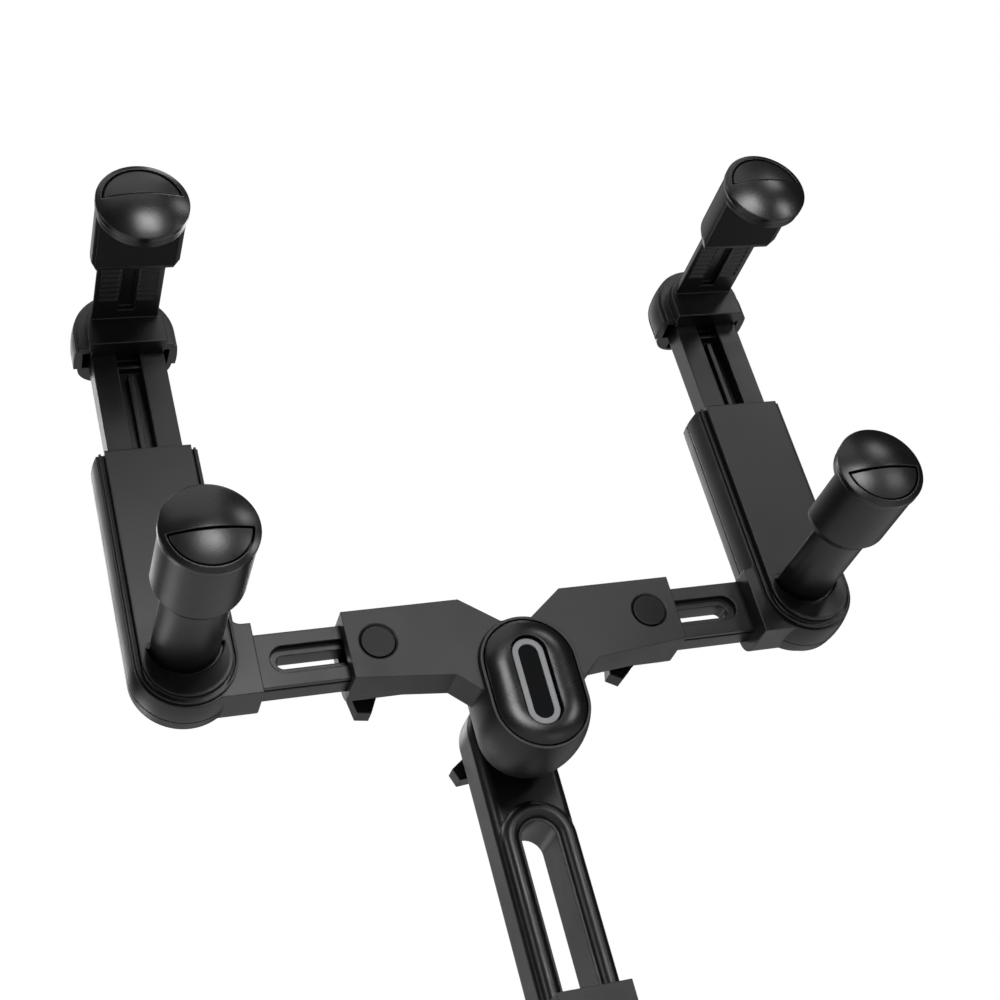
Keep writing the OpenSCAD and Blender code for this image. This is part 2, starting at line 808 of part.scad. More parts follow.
module arm_profile() {
    intersection() {
        translate([0, arm_y]) square([arm_r, arm_t]);
        union() {
            translate([0, arm_y]) square([arm_r - arm_round, arm_t]);
            translate([0, arm_y + arm_round]) square([arm_r, arm_t - 2 * arm_round]);
            for (y = [arm_y + arm_round, arm_back - arm_round])
                translate([arm_r - arm_round, y]) circle(r = arm_round);
        }
    }
}

module arch_profile() {
    translate([slot_r + 0.5 + arch_round, arm_y - arch_h + arch_round]) circle(r = arch_round);
}

// A closed loop of the profile round the slot
module round_the_slot() {
    translate([0, 0, slot_top]) half_turn_y(false) children();
    translate([0, 0, slot_bottom]) half_turn_y(true) children();
    translate([0, 0, slot_bottom]) linear_extrude(slot_top - slot_bottom) {
        children();
        mirror([1, 0]) children();
    }
}

module arm() {
    color(black) difference() {
        union() {
            half_turn_y(false) arm_profile();
            translate([0, 0, -arm_len]) half_turn_y(true) arm_profile();
            translate([0, 0, -arm_len]) linear_extrude(arm_len) {
                arm_profile();
                mirror([1, 0]) arm_profile();
            }
            round_the_slot() arch_profile();
            y_cylinder(boss_r, hub_d + washer_t, arm_y + 1);
        }
        stadium_z(slot_r, slot_bottom, slot_top, arm_y - 3, arm_back + 1);
        y_cylinder(pivot_d / 2 + turn_gap, hub_d, arm_back + 1);
    }
}

module arm_knob() {
    color(black) translate([0, arm_knob_y, 0]) rotate([0, 90 + arm_knob_turn, 0])
        wing_knob(pivot_d, arm_blade, arm_knob_t);
}

// The block that slides on the arm, with a neck down to the tilt hinge
module carriage() {
    lug_x = knuckle_half + tilt_gap;
    color(black) difference() {
        union() {
            translate([-carriage_w / 2, carriage_y, carriage_z - carriage_h / 2])
                cube([carriage_w, carriage_t, carriage_h]);
            translate([0, 0, carriage_z]) y_cylinder(slot_r - slide_gap, carriage_y, arm_y + guide_d);
            translate([-hinge_w / 2, carriage_y, tilt_z])
                cube([hinge_w, carriage_t - 2, carriage_z - carriage_h / 2 - tilt_z + 1]);
            translate([-hinge_w / 2, tilt_y, tilt_z])
                cube([hinge_w, carriage_y - tilt_y + 1, tilt_r]);
            translate([0, tilt_y, tilt_z]) x_cylinder(tilt_r, hinge_w);
        }
        translate([-lug_x, tilt_y - tilt_r - 1, tilt_z - tilt_r - 1])
            cube([2 * lug_x, carriage_t + carriage_y - tilt_y + tilt_r + 1, 2 * tilt_r + 2]);
        translate([0, tilt_y, tilt_z]) x_cylinder(tilt_d / 2, hinge_w + 2);
        translate([0, 0, carriage_z]) {
            y_cylinder(lock_d / 2 + turn_gap, 0, arm_back);
            y_cylinder(head_r + 0.2, 0, carriage_y + head_t + 0.5);
        }
    }
}

module carriage_screw() {
    color(steel) translate([0, 0, carriage_z]) {
        y_cylinder(head_r, carriage_y + 0.5, carriage_y + 0.5 + head_t);
        y_cylinder(lock_d / 2, carriage_y + 0.5, arm_back + 0.4 + knob_hub_t - 1);
    }
}

module carriage_knob() {
    color(black) translate([0, arm_back + 0.4, carriage_z]) wing_knob(lock_d, rail_blade, knob_hub_t);
}

module tilt_pin() {
    color(steel) translate([0, tilt_y, tilt_z]) x_cylinder(tilt_d / 2, hinge_w);
}

// A box with rounded upright edges seen from the front
module rounded_box(w, h, y0, y1, r) {
    translate([0, y1, 0]) rotate([90, 0, 0]) linear_extrude(y1 - y0) {
        for (x = [-w / 2 + r, w / 2 - r], z = [-h / 2 + r, h / 2 - r]) translate([x, z]) circle(r = r);
        square([w - 2 * r, h], center = true);
        square([w, h - 2 * r], center = true);
    }
}

// The front shell of the cradle, with the face that a phone rests on
module cradle_base() {
    pocket = clamp_y - slide_gap;
    color(satin) translate([0, 0, cradle_z]) difference() {
        rounded_box(cradle_w, cradle_h, cradle_back - cradle_t, cradle_back - cover_wall, 6);
        rounded_box(cradle_w - 3 * cover_wall, cradle_h - 3 * cover_wall, pocket, cradle_back, 3);
        translate([-cradle_w, pocket, -clamp_h / 2 - slide_gap])
            cube([2 * cradle_w, cradle_t, clamp_h + 2 * slide_gap]);
        translate([-foot_w / 2 - slide_gap, pocket, -cradle_h])
            cube([foot_w + 2 * slide_gap, cradle_t, cradle_h]);
    }
}

module cradle_cover() {
    color(black) difference() {
        union() {
            translate([0, 0, cradle_z])
                rounded_box(cradle_w, cradle_h, cradle_back - cover_wall, cradle_back, 6);
            translate([0, tilt_y, tilt_z]) x_cylinder(tilt_r, 2 * knuckle_half);
            translate([-knuckle_half, cradle_back - 1, tilt_z - tilt_r])
                cube([2 * knuckle_half, tilt_y - cradle_back + 1, 2 * tilt_r]);
        }
        translate([0, tilt_y, tilt_z]) x_cylinder(tilt_d / 2 + turn_gap, hinge_w);
    }
}

// A clamp arm: a grip plate, an L to the front and a bar past the other arm's bar
module clamp(side) {
    reach = cradle_w / 2 + clamp_out;
    front = cradle_back - cradle_t - clamp_front;
    bar_z = side == left ? clamp_h / 2 - bar_h : -clamp_h / 2;
    color(black) translate([0, 0, cradle_z]) mirror([side == left ? 1 : 0, 0, 0]) {
        translate([clamp_root, clamp_y, -clamp_h / 2]) cube([reach + clamp_t - clamp_root, clamp_t, clamp_h]);
        translate([clamp_root - bar_len, clamp_y, bar_z]) cube([bar_len + 1, clamp_t, bar_h]);
        translate([reach, front, -clamp_h / 2]) cube([clamp_t, clamp_y + clamp_t - front, clamp_h]);
        translate([reach - clamp_lip, front, -clamp_h / 2]) cube([clamp_lip + 1, clamp_lip_t, clamp_h]);
    }
}

module cradle_foot() {
    y1 = cradle_back - cover_wall - slide_gap;
    bottom = cradle_z - cradle_h / 2 - foot_out;
    front = cradle_back - cradle_t - clamp_front;
    color(black) {
        translate([-foot_w / 2, y1 - foot_t, bottom])
            cube([foot_w, foot_t, (cradle_h - clamp_h) / 2 + foot_out - 1.5]);
        translate([-foot_w / 2, front, bottom]) cube([foot_w, y1 - front, foot_t]);
        translate([-foot_w / 2, front, bottom]) cube([foot_w, foot_t, foot_t + 4]);
    }
}

yoke_front();
back_cover(left);  // back_cover_left
back_cover(right);  // back_cover_right
hub_cap();
hub_ring();
hub_window();
screw_plugs();
lock_screws();
pivot_bolt();
pivot_washer();
rail_knob(left);  // rail_knob_left
rail_knob(right);  // rail_knob_right
rail(left);  // rail_left
rail(right);  // rail_right
corner_shell(left);  // corner_shell_left
corner_shell(right);  // corner_shell_right
corner_front(left);  // corner_front_left
corner_front(right);  // corner_front_right
riser(left);  // riser_left
riser(right);  // riser_right
bracket_shell(left);  // bracket_shell_left
bracket_shell(right);  // bracket_shell_right
bracket_front(left);  // bracket_front_left
bracket_front(right);  // bracket_front_right
jaw(left, lower);  // jaw_lower_left
jaw(right, lower);  // jaw_lower_right
jaw(left, upper);  // jaw_upper_left
jaw(right, upper);  // jaw_upper_right
pad(left, lower);  // pad_lower_left
pad(right, lower);  // pad_lower_right
pad(left, upper);  // pad_upper_left
pad(right, upper);  // pad_upper_right
cap(left, lower);  // cap_lower_left
cap(right, lower);  // cap_lower_right
cap(left, upper);  // cap_upper_left
cap(right, upper);  // cap_upper_right
button(left, lower);  // button_lower_left
button(right, lower);  // button_lower_right
button(left, upper);  // button_upper_left
button(right, upper);  // button_upper_right
spring(left, lower);  // spring_lower_left
spring(right, lower);  // spring_lower_right
spring(left, upper);  // spring_upper_left
spring(right, upper);  // spring_upper_right
pawl(left, lower);  // pawl_lower_left
pawl(right, lower);  // pawl_lower_right
pawl(left, upper);  // pawl_upper_left
pawl(right, upper);  // pawl_upper_right
arm();
arm_knob();
carriage();
carriage_screw();
carriage_knob();
tilt_pin();
cradle_base();
cradle_cover();
clamp(left);  // clamp_left
clamp(right);  // clamp_right
cradle_foot();
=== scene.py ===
"""Dresses the rear-view mirror phone mount: plastics, rubber, steel, light and camera."""

import logging
import math
from dataclasses import dataclass, field
from enum import Enum
from typing import Any

import bpy
from mathutils import Matrix, Vector


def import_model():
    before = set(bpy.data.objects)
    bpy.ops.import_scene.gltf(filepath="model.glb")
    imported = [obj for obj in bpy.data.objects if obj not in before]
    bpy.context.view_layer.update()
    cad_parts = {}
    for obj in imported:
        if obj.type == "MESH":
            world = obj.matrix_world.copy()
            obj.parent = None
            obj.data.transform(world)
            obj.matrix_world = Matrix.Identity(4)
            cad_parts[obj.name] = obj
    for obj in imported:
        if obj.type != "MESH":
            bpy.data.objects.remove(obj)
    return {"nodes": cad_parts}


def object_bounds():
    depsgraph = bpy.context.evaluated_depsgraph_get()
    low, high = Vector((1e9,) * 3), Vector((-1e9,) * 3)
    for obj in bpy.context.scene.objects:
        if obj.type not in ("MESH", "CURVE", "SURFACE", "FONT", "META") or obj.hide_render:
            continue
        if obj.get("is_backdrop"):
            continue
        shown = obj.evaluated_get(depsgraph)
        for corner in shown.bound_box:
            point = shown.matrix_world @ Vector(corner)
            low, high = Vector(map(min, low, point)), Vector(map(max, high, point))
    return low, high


LOG = logging.getLogger("mirror_mount")

Colour = tuple[float, float, float, float]
Triple = tuple[float, float, float]
Span = tuple[float, float]

MM = 0.001
# Nearly all of a noise texture's values lie in this span
NOISE_SPAN: Span = (0.3, 0.7)
# A wave texture of scale 1 repeats after this length, in metres
WAVE_PERIOD = 0.314


def linear(code: str) -> Colour:
    """Turn an sRGB hex code into a linear colour.

    Args:
        code: Six hex digits, such as "2b2c2e".

    Returns:
        Red, green, blue and an alpha of 1.
    """
    parts = [int(code[i : i + 2], 16) / 255 for i in (0, 2, 4)]
    red, green, blue = (
        p / 12.92 if p <= 0.04045 else ((p + 0.055) / 1.055) ** 2.4 for p in parts
    )
    return (red, green, blue, 1.0)


def scaled(colour: Colour, factors: Triple) -> Colour:
    """Brighten or darken a linear colour.

    Args:
        colour: The colour.
        factors: What its red, green and blue are multiplied by.

    Returns:
        The new colour, with an alpha of 1.
    """
    red, green, blue = (part * factor for part, factor in zip(colour, factors))
    return (red, green, blue, 1.0)


def add_node(
    tree: bpy.types.NodeTree,
    kind: str,
    inputs: dict[str | int, Any] | None = None,
    **settings: Any,
) -> bpy.types.Node:
    """Add a shader node with its settings, constants and incoming links.

    Args:
        tree: The node tree that the node goes into.
        kind: Blender's name of the node type.
        inputs: Input socket to its constant, or to the output socket that feeds it.
        settings: Properties of the node itself.

    Returns:
        The new node.
    """
    node = tree.nodes.new(kind)
    for name, value in settings.items():
        setattr(node, name, value)
    for key, value in (inputs or {}).items():
        if isinstance(value, bpy.types.NodeSocket):
            tree.links.new(value, node.inputs[key])
        else:
            node.inputs[key].default_value = value
    return node


def blank_material(name: str) -> bpy.types.Material:
    """Make a material whose node tree is empty.

    Args:
        name: The material's name.

    Returns:
        The material.
    """
    material = bpy.data.materials.new(name)
    material.use_nodes = True
    material.node_tree.nodes.clear()
    return material


class Gloss(Enum):
    """How smooth the mould left a plastic surface."""

    POLISHED = 0.25
    HONED = 0.31
    SATIN = 0.36
    MATTE = 0.44


@dataclass(frozen=True)
class MouldedPlastic:
    """Injection-moulded plastic with spark-eroded grain, softened edges, and paler edges that are
    partly handling wear and partly painted highlight.

    Attributes:
        name: The material's name.
        body: sRGB hex of the plastic.
        rubbed_and_highlight: sRGB hex of its edges, partly where handling has polished the grain and
            partly a painted highlight.
        gloss: How smooth the mould was.
        grain_mm: Size of one grain, drawn several times coarser than the real one so that it shows.
        grain_depth: Strength of the grain's relief.
        edge_mm: Radius of the rounding that the eye reads on the edges.
        specular: Strength of the surface's reflection, 0.5 for a plain plastic.
        relief_mm: Height of the grain at full strength.
        cloud_mm: Size of the cloudy patches in the colour and the gloss.
        cloud_tint: What the colour is multiplied by in the palest patches.
        cloud_gloss: What the patches add to the roughness, from the least to the most.
        edge_turn: Cosine of the rounded edge's turn, where the paler edge colour begins and where it
            is full.
        edge_wear_and_highlight: How much of the paler edge colour, wear and painted highlight, shows
            where it is full.
    """

    name: str
    body: str
    rubbed_and_highlight: str
    gloss: Gloss
    grain_mm: float = 0.35
    grain_depth: float = 0.12
    edge_mm: float = 0.45
    specular: float = 0.5
    relief_mm: float = 0.05
    cloud_mm: float = 14.0
    cloud_tint: Triple = (1.2, 1.2, 1.22)
    cloud_gloss: Span = (-0.04, 0.06)
    edge_turn: Span = (0.99, 0.80)
    edge_wear_and_highlight: float = 0.55

    def build(self) -> bpy.types.Material:
        """Build the material.

        Returns:
            The material.
        """
        material = blank_material(self.name)
        tree = material.node_tree
        where = add_node(tree, "ShaderNodeTexCoord").outputs["Object"]
        cloud = add_node(
            tree,
            "ShaderNodeTexNoise",
            {"Vector": where, "Scale": 1 / (self.cloud_mm * MM), "Detail": 5.0, "Roughness": 0.6},
        ).outputs["Fac"]
        edges = add_node(tree, "ShaderNodeBevel", {"Radius": self.edge_mm * MM}, samples=6)
        rounded = edges.outputs["Normal"]
        shader = add_node(
            tree,
            "ShaderNodeBsdfPrincipled",
            {
                "Base Color": self._colour(tree, cloud, rounded),
                "Roughness": self._roughness(tree, cloud),
                "Normal": self._relief(tree, where, rounded),
                "IOR": 1.5,
                "Metallic": 0.0,
                "Specular IOR Level": self.specular,
            },
        )
        add_node(tree, "ShaderNodeOutputMaterial", {"Surface": shader.outputs["BSDF"]})
        return material

    def _colour(
        self,
        tree: bpy.types.NodeTree,
        cloud: bpy.types.NodeSocket,
        rounded: bpy.types.NodeSocket,
    ) -> bpy.types.NodeSocket:
        """Mix the cloudy body colour with the paler edge colour, which is partly wear and partly
        painted highlight.

        Args:
            tree: The material's node tree.
            cloud: Noise as large as the patches.
            rounded: The surface's normal with its edges rounded.

        Returns:
            The socket with the colour.
        """
        body = linear(self.body)
        patch = add_node(
            tree,
            "ShaderNodeMapRange",
            {"Value": cloud, "From Min": 0.35, "From Max": 0.7, "To Min": 0.0, "To Max": 1.0},
        )
        base = add_node(
            tree,
            "ShaderNodeMix",
            {0: patch.outputs["Result"], 6: body, 7: scaled(body, self.cloud_tint)},
            data_type="RGBA",
        )
        faces = add_node(tree, "ShaderNodeNewGeometry")
        turn = add_node(
            tree,
            "ShaderNodeVectorMath",
            {0: rounded, 1: faces.outputs["Normal"]},
            operation="DOT_PRODUCT",
        )
        # Painted highlight: the paler edge colour stands partly for handling wear and partly for
        # light on the rounded edges
        worn_and_highlit = add_node(
            tree,
            "ShaderNodeMapRange",
            {
                "Value": turn.outputs["Value"],
                "From Min": self.edge_turn[0],
                "From Max": self.edge_turn[1],
                "To Min": 0.0,
                "To Max": self.edge_wear_and_highlight,
            },
        )
        mix = add_node(
            tree,
            "ShaderNodeMix",
            {0: worn_and_highlit.outputs["Result"], 6: base.outputs[2], 7: linear(self.rubbed_and_highlight)},
            data_type="RGBA",
        )
        return mix.outputs[2]

    def _roughness(
        self, tree: bpy.types.NodeTree, cloud: bpy.types.NodeSocket
    ) -> bpy.types.NodeSocket:
        """Let the gloss drift with the cloudy patches.

        Args:
            tree: The material's node tree.
            cloud: Noise as large as the patches.

        Returns:
            The socket with the roughness.
        """
        rough = add_node(
            tree,
            "ShaderNodeMapRange",
            {
                "Value": cloud,
                "From Min": NOISE_SPAN[0],
                "From Max": NOISE_SPAN[1],
                "To Min": self.gloss.value + self.cloud_gloss[0],
                "To Max": self.gloss.value + self.cloud_gloss[1],
            },
        )
        return rough.outputs["Result"]

    def _relief(
        self,
        tree: bpy.types.NodeTree,
        where: bpy.types.NodeSocket,
        rounded: bpy.types.NodeSocket,
    ) -> bpy.types.NodeSocket:
        """Raise the grain on the rounded surface.

        Args:
            tree: The material's node tree.
            where: The piece's own coordinates.
            rounded: The surface's normal with its edges rounded.

        Returns:
            The socket with the normal.
        """
        grain = add_node(
            tree,
            "ShaderNodeTexNoise",
            {"Vector": where, "Scale": 1 / (self.grain_mm * MM), "Detail": 3.0, "Roughness": 0.55},
        )
        relief = add_node(
            tree,
            "ShaderNodeBump",
            {
                "Height": grain.outputs["Fac"],
                "Normal": rounded,
                "Strength": self.grain_depth,
                "Distance": self.relief_mm * MM,
            },
        )
        return relief.outputs["Normal"]


@dataclass(frozen=True)
class MouldedRubber:
    """Moulded synthetic rubber: dull and dark, with the fine grain that grips the mirror.

    Attributes:
        name: The material's name.
        body: sRGB hex of the rubber.
        grain_mm: Size of one grain of the mould's texture, drawn coarser so that it shows.
        grain_depth: Strength of the grain's relief.
        relief_mm: Height of the grain at full strength.
        dust_mm: Size of the patches of dust.
        dust_tint: What the colour is multiplied by where the dust is thickest.
    """

    name: str = "moulded_nitrile_rubber"
    body: str = "0b0b0c"
    grain_mm: float = 0.4
    grain_depth: float = 0.3
    relief_mm: float = 0.06
    dust_mm: float = 2.5
    dust_tint: Triple = (1.5, 1.5, 1.5)

    def build(self) -> bpy.types.Material:
        """Build the material.

        Returns:
            The material.
        """
        material = blank_material(self.name)
        tree = material.node_tree
        where = add_node(tree, "ShaderNodeTexCoord").outputs["Object"]
        grain = add_node(
            tree,
            "ShaderNodeTexNoise",
            {"Vector": where, "Scale": 1 / (self.grain_mm * MM), "Detail": 3.0},
        )
        relief = add_node(
            tree,
            "ShaderNodeBump",
            {
                "Height": grain.outputs["Fac"],
                "Strength": self.grain_depth,
                "Distance": self.relief_mm * MM,
            },
        )
        dust = add_node(
            tree,
            "ShaderNodeTexNoise",
            {"Vector": where, "Scale": 1 / (self.dust_mm * MM), "Detail": 4.0},
        )
        body = linear(self.body)
        colour = add_node(
            tree,
            "ShaderNodeMix",
            {0: dust.outputs["Fac"], 6: body, 7: scaled(body, self.dust_tint)},
            data_type="RGBA",
        )
        shader = add_node(
            tree,
            "ShaderNodeBsdfPrincipled",
            {
                "Base Color": colour.outputs[2],
                "Normal": relief.outputs["Normal"],
                "IOR": 1.52,
                "Roughness": 0.72,
                "Metallic": 0.0,
                "Specular IOR Level": 0.25,
            },
        )
        add_node(tree, "ShaderNodeOutputMaterial", {"Surface": shader.outputs["BSDF"]})
        return material


@dataclass(frozen=True)
class ZincPlatedSteel:
    """Zinc-plated steel: a grey metal with fine turning marks and cloudy plating.

    Attributes:
        name: The material's name.
        plate: sRGB hex of the plating.
        mark_mm: Distance between two turning marks.
        mark_strength: Strength of the marks' relief.
        mark_depth_mm: Depth of the marks at full strength.
        cloud_mm: Size of the cloudy patches in the gloss.
        roughness: Roughness of the brightest and of the dullest patches.
    """

    name: str = "zinc_plated_steel"
    plate: str = "a9abae"
    mark_mm: float = 0.25
    mark_strength: float = 0.1
    mark_depth_mm: float = 0.03
    cloud_mm: float = 1.5
    roughness: Span = (0.24, 0.42)

    def build(self) -> bpy.types.Material:
        """Build the material.

        Returns:
            The material.
        """
        material = blank_material(self.name)
        tree = material.node_tree
        where = add_node(tree, "ShaderNodeTexCoord").outputs["Object"]
        marks = add_node(
            tree,
            "ShaderNodeTexWave",
            {
                "Vector": where,
                "Scale": WAVE_PERIOD / (self.mark_mm * MM),
                "Distortion": 1.5,
                "Detail": 2.0,
            },
            bands_direction="Y",
        )
        cloud = add_node(
            tree,
            "ShaderNodeTexNoise",
            {"Vector": where, "Scale": 1 / (self.cloud_mm * MM), "Detail": 4.0},
        )
        rough = add_node(
            tree,
            "ShaderNodeMapRange",
            {
                "Value": cloud.outputs["Fac"],
                "From Min": NOISE_SPAN[0],
                "From Max": NOISE_SPAN[1],
                "To Min": self.roughness[0],
                "To Max": self.roughness[1],
            },
        )
        relief = add_node(
            tree,
            "ShaderNodeBump",
            {
                "Height": marks.outputs["Fac"],
                "Strength": self.mark_strength,
                "Distance": self.mark_depth_mm * MM,
            },
        )
        shader = add_node(
            tree,
            "ShaderNodeBsdfPrincipled",
            {
                "Base Color": linear(self.plate),
                "Roughness": rough.outputs["Result"],
                "Normal": relief.outputs["Normal"],
                "Metallic": 1.0,
            },
        )
        add_node(tree, "ShaderNodeOutputMaterial", {"Surface": shader.outputs["BSDF"]})
        return material


Finish = MouldedPlastic | MouldedRubber | ZincPlatedSteel

# Fine-grained ABS of the yoke: an even, slightly blue charcoal under soft light
YOKE_ABS = MouldedPlastic(
    "grained_charcoal_abs",
    "131418",
    "36383c",
    Gloss.MATTE,
    grain_mm=0.42,
    grain_depth=0.30,
    edge_mm=0.4,
)
# Smoother ABS of the sliding frame: near black with a satin sheen
FRAME_ABS = MouldedPlastic(
    "satin_black_abs", "0a0a0b", "303134", Gloss.SATIN, grain_mm=0.3, edge_mm=0.5
)
# Darker glass-filled nylon of the knobs and clamps
NYLON = MouldedPlastic(
    "glass_filled_black_nylon",
    "0c0c0d",
    "2e2f32",
    Gloss.MATTE,
    grain_mm=0.3,
    grain_depth=0.14,
    edge_mm=0.35,
)
# Polished ABS of the caps and hub: deep black with soft broad highlights
CAP_ABS = MouldedPlastic(
    "polished_black_abs",
    "0b0b0c",
    "343538",
    Gloss.POLISHED,
    grain_mm=0.3,
    grain_depth=0.04,
    edge_mm=0.5,
)
# Honed ABS of the release buttons: paler, with the fine mottle that gives a finger grip
BUTTON_ABS = MouldedPlastic(
    "honed_black_abs",
    "101011",
    "343538",
    Gloss.HONED,
    grain_mm=0.5,
    grain_depth=0.35,
    edge_mm=0.3,
)
# The plugs over the screws: black, with a painted highlight as the pale line along their rim
PLUG_ABS = MouldedPlastic(
    "smooth_black_abs",
    "07080a",
    "6a6b6e",
    Gloss.SATIN,
    grain_mm=0.3,
    grain_depth=0.06,
    edge_mm=0.4,
    specular=0.25,
)
# Grey ring moulded in a second colour
RING_ABS = MouldedPlastic(
    "mid_grey_abs",
    "8a8b8d",
    "a8a9ab",
    Gloss.SATIN,
    grain_mm=0.3,
    grain_depth=0.06,
    edge_mm=0.3,
)
# Blue-black acrylic insert inside the ring, with little reflection
WINDOW_ABS = MouldedPlastic(
    "blue_black_acrylic",
    "060709",
    "121418",
    Gloss.SATIN,
    grain_mm=0.5,
    grain_depth=0.08,
    edge_mm=0.2,
    specular=0.05,
)
# Nitrile rubber of the pads that touch the mirror
RUBBER = MouldedRubber()
# Zinc-plated steel of the screws, bolts, springs, pawls and the hinge pin
STEEL = ZincPlatedSteel()

SIDES = ("left", "right")
LEVELS = ("lower", "upper")


@dataclass
class Dresser:
    """Gives CAD nodes their finish.

    Attributes:
        nodes: Node name to Blender object.
        made: Materials built so far, by name.
    """

    nodes: dict[str, bpy.types.Object]
    made: dict[str, bpy.types.Material] = field(default_factory=dict)

    def dress(self, finish: Finish, *names: str) -> None:
        """Put one finish on the named nodes.

        Args:
            finish: The finish.
            names: The nodes' names.
        """
        if finish.name not in self.made:
            self.made[finish.name] = finish.build()
        for name in names:
            mesh = self.nodes[name].data
            mesh.materials.clear()
            mesh.materials.append(self.made[finish.name])
        LOG.info("%s: %s", finish.name, ", ".join(names))


@dataclass
class Yoke:
    """The yoke with its hub, ring and lock screws.

    Attributes:
        dresser: Holds the nodes and their materials.
    """

    dresser: Dresser

    def dress(self) -> None:
        """Dress the yoke's nodes."""
        put = self.dresser.dress
        put(YOKE_ABS, "yoke_front")
        put(PLUG_ABS, "screw_plugs")
        put(FRAME_ABS, "back_cover_left", "back_cover_right")
        put(CAP_ABS, "hub_cap")
        put(RING_ABS, "hub_ring")
        put(WINDOW_ABS, "hub_window")
        put(STEEL, "lock_screws", "pivot_bolt")
        put(NYLON, "pivot_washer", "rail_knob_left", "rail_knob_right")


@dataclass
class Corners:
    """The rails, corner sleeves, risers and end brackets of both sides.

    Attributes:
        dresser: Holds the nodes and their materials.
    """

    dresser: Dresser

    def dress(self) -> None:
        """Dress both sides' nodes."""
        for side in SIDES:
            self.dresser.dress(
                FRAME_ABS,
                f"rail_{side}",
                f"corner_front_{side}",
                f"riser_{side}",
                f"bracket_front_{side}",
                f"corner_shell_{side}",
                f"bracket_shell_{side}",
            )


@dataclass
class Jaws:
    """The four jaws with their caps, buttons, pads, springs and pawls.

    Attributes:
        dresser: Holds the nodes and their materials.
    """

    dresser: Dresser

    def dress(self) -> None:
        """Dress the four jaws' nodes."""
        put = self.dresser.dress
        for level in LEVELS:
            for side in SIDES:
                place = f"{level}_{side}"
                put(FRAME_ABS, f"jaw_{place}")
                put(CAP_ABS, f"cap_{place}")
                put(BUTTON_ABS, f"button_{place}")
                put(RUBBER, f"pad_{place}")
                put(STEEL, f"spring_{place}", f"pawl_{place}")


@dataclass
class Cradle:
    """The swivelling arm, its carriage and the phone cradle.

    Attributes:
        dresser: Holds the nodes and their materials.
    """

    dresser: Dresser

    def dress(self) -> None:
        """Dress the arm's and the cradle's nodes."""
        put = self.dresser.dress
        put(FRAME_ABS, "arm", "cradle_base")
        put(NYLON, "arm_knob", "carriage", "carriage_knob", "cradle_cover", "cradle_foot")
        put(NYLON, "clamp_left", "clamp_right")
        put(STEEL, "carriage_screw", "tilt_pin")


@dataclass(frozen=True)
class SoftBox:
    """A square soft lamp that points at the object.

    Attributes:
        name: The lamp's name.
        turn: Degrees round the object, from straight in front towards the right.
        rise: Degrees above the object's middle.
        power: Power in watts.
        size: Its side in metres.
        distance: From the object's middle, in metres.
    """

    name: str
    turn: float
    rise: float
    power: float
    size: float = 0.32
    distance: float = 1.1

    def direction(self) -> Vector:
        """Find where the lamp hangs, seen from the object's middle.

        Returns:
            The unit vector to the lamp.
        """
        turn, rise = math.radians(self.turn), math.radians(self.rise)
        level = math.cos(rise)
        return Vector((math.sin(turn) * level, -math.cos(turn) * level, math.sin(rise)))


# Three soft boxes in front, two at each side, two overhead, and three behind that rim the object
SOFT_BOXES = (
    SoftBox("front_box", turn=6, rise=13, power=4.8),
    SoftBox("right_box", turn=40, rise=8, power=1.2, size=0.18),
    SoftBox("right_high_box", turn=42, rise=34, power=0.8, size=0.2),
    SoftBox("left_box", turn=-65, rise=12, power=1.8),
    SoftBox("left_high_box", turn=-110, rise=42, power=2.4),
    SoftBox("left_top_box", turn=-90, rise=72, power=1.2),
    SoftBox("right_top_box", turn=90, rise=72, power=1.2),
    SoftBox("front_high_box", turn=-4, rise=56, power=2.0, size=0.8),
    SoftBox("front_low_box", turn=25, rise=-25, power=0.5),
    SoftBox("back_left_box", turn=-170, rise=30, power=1.0, size=0.4, distance=1.3),
    SoftBox("back_low_box", turn=-152, rise=-3, power=0.6, size=0.3, distance=1.2),
    SoftBox("back_right_box", turn=150, rise=25, power=1.8, size=0.4, distance=1.3),
)


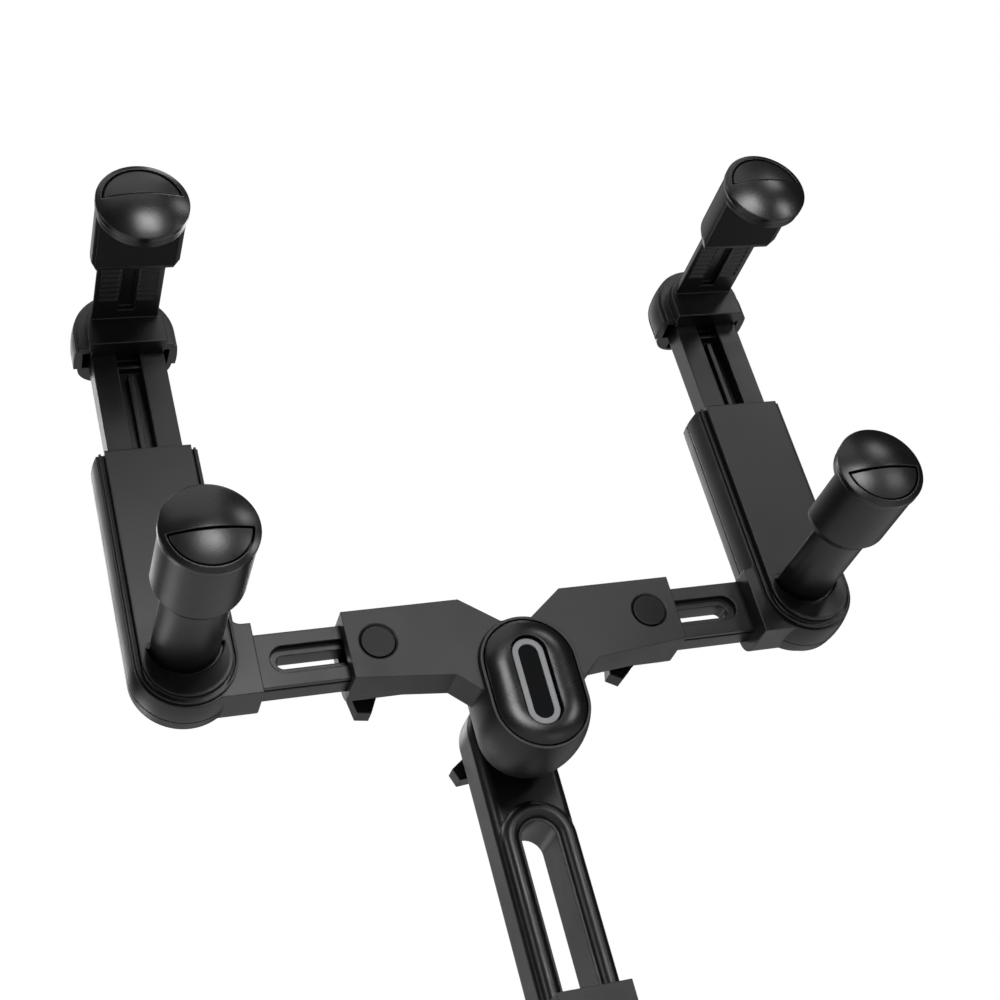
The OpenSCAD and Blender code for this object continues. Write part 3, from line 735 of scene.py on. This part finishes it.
@dataclass
class Studio:
    """Floor, backdrop, soft lamps and the photograph's camera.

    Attributes:
        floor_z: Height of the floor, in metres.
        floor_side: Length of the floor's side, in metres.
        floor_colour: sRGB hex of the floor.
        floor_glow: Strength of the floor where glossy surfaces mirror it, where 1 is white.
        room: Strength of the room's even light, where 1 is white.
        backdrop: Direction of the white backdrop's middle, behind the object.
        backdrop_edge: Cosine of the angle from there, where it fades out and where it is white.
        middle: The point that the lamps hang round and point at.
        eye: Where the camera stands.
        forward: The camera's view direction.
        up: The direction that is up in the frame.
        lens_mm: Focal length of the camera.
        sensor_mm: Width of its sensor.
    """

    floor_z: float = -0.34
    floor_side: float = 6.0
    floor_colour: str = "e6e6e6"
    floor_glow: float = 0.6
    room: float = 0.04
    backdrop: Triple = (-0.08, 0.86, 0.50)
    backdrop_edge: Span = (0.91, 0.98)
    middle: Triple = (0.0, -0.03, 0.06)
    eye: Triple = (-0.15900, -0.39006, -0.17492)
    forward: Triple = (0.34141, 0.81206, 0.47329)
    up: Triple = (0.08419, -0.52794, 0.84510)
    lens_mm: float = 67.13
    sensor_mm: float = 36.0

    def build(self) -> None:
        """Build the whole set."""
        self._floor()
        self._world()
        for box in SOFT_BOXES:
            self._lamp(box)
        self._camera()

    def _floor(self) -> None:
        """Lay a plain pale floor below the object, which glows where glossy surfaces mirror it."""
        bpy.ops.mesh.primitive_plane_add(size=self.floor_side, location=(0, 0, self.floor_z))
        floor = bpy.context.object
        floor.name = "studio_floor"
        # Pale matt studio floor
        material = blank_material("pale_studio_floor")
        tree = material.node_tree
        matt = add_node(
            tree,
            "ShaderNodeBsdfPrincipled",
            {"Base Color": linear(self.floor_colour), "Roughness": 0.8},
        )
        white = add_node(tree, "ShaderNodeEmission", {"Strength": self.floor_glow})
        path = add_node(tree, "ShaderNodeLightPath")
        mix = add_node(
            tree,
            "ShaderNodeMixShader",
            {
                0: path.outputs["Is Glossy Ray"],
                1: matt.outputs["BSDF"],
                2: white.outputs["Emission"],
            },
        )
        add_node(tree, "ShaderNodeOutputMaterial", {"Surface": mix.outputs["Shader"]})
        floor.data.materials.append(material)
        floor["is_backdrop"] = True

    def _world(self) -> None:
        """Give a dim even room that the camera sees as white, as glossy surfaces see its backdrop."""
        world = bpy.data.worlds.new("soft_studio")
        bpy.context.scene.world = world
        world.use_nodes = True
        tree = world.node_tree
        tree.nodes.clear()
        path = add_node(tree, "ShaderNodeLightPath")
        where = add_node(tree, "ShaderNodeTexCoord").outputs["Generated"]
        facing = add_node(
            tree, "ShaderNodeVectorMath", {0: where, 1: self.backdrop}, operation="DOT_PRODUCT"
        )
        white = add_node(
            tree,
            "ShaderNodeMapRange",
            {
                "Value": facing.outputs["Value"],
                "From Min": self.backdrop_edge[0],
                "From Max": self.backdrop_edge[1],
                "To Min": self.room,
                "To Max": 1.0,
            },
        )
        glossy = add_node(
            tree,
            "ShaderNodeMix",
            {0: path.outputs["Is Glossy Ray"], 2: self.room, 3: white.outputs["Result"]},
        )
        seen = add_node(
            tree,
            "ShaderNodeMath",
            {0: path.outputs["Is Camera Ray"], 1: path.outputs["Is Transmission Ray"]},
            operation="MAXIMUM",
        )
        level = add_node(
            tree, "ShaderNodeMix", {0: seen.outputs["Value"], 2: glossy.outputs[0], 3: 1.0}
        )
        soft = add_node(
            tree,
            "ShaderNodeBackground",
            {"Strength": level.outputs[0], "Color": (1.0, 1.0, 1.0, 1.0)},
        )
        add_node(tree, "ShaderNodeOutputWorld", {"Surface": soft.outputs["Background"]})

    def _lamp(self, box: SoftBox) -> None:
        """Hang one soft box.

        Args:
            box: The soft box.
        """
        data = bpy.data.lights.new(box.name, "AREA")
        data.shape = "SQUARE"
        data.size = box.size
        data.energy = box.power
        lamp = bpy.data.objects.new(box.name, data)
        bpy.context.collection.objects.link(lamp)
        middle = Vector(self.middle)
        place = middle + box.direction() * box.distance
        lamp.location = place
        lamp.visible_camera = False
        lamp.rotation_euler = (middle - place).to_track_quat("-Z", "Y").to_euler()

    def _camera(self) -> None:
        """Set the camera where the photograph was taken from."""
        data = bpy.data.cameras.new("photo_camera")
        data.lens = self.lens_mm
        data.sensor_width = self.sensor_mm
        data.clip_start = 10 * MM
        camera = bpy.data.objects.new("photo_camera", data)
        bpy.context.collection.objects.link(camera)
        ahead = Vector(self.forward).normalized()
        up = Vector(self.up).normalized()
        right = ahead.cross(up)
        turn = Matrix((right, up, -ahead)).transposed()
        camera.matrix_world = Matrix.Translation(Vector(self.eye)) @ turn.to_4x4()
        bpy.context.scene.camera = camera


def plain(box: Any) -> Any:
    """Turn a box of vectors into plain lists of numbers.

    Args:
        box: Nested sequences of numbers.

    Returns:
        The same numbers in lists.
    """
    return [plain(part) for part in box] if hasattr(box, "__len__") else float(box)


def main() -> None:
    """Load the frame, dress it, and set the scene round it."""
    logging.basicConfig(level=logging.INFO, format="%(message)s")
    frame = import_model()
    cad_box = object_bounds()
    dresser = Dresser(frame["nodes"])
    for part in (Yoke(dresser), Corners(dresser), Jaws(dresser), Cradle(dresser)):
        part.dress()
        LOG.info("dressed %s", type(part).__name__)
    Studio().build()
    view = bpy.context.scene.view_settings
    view.view_transform = "Standard"
    {"cad": plain(cad_box), "visual": plain(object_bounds())}


if __name__ == "__main__":
    main()
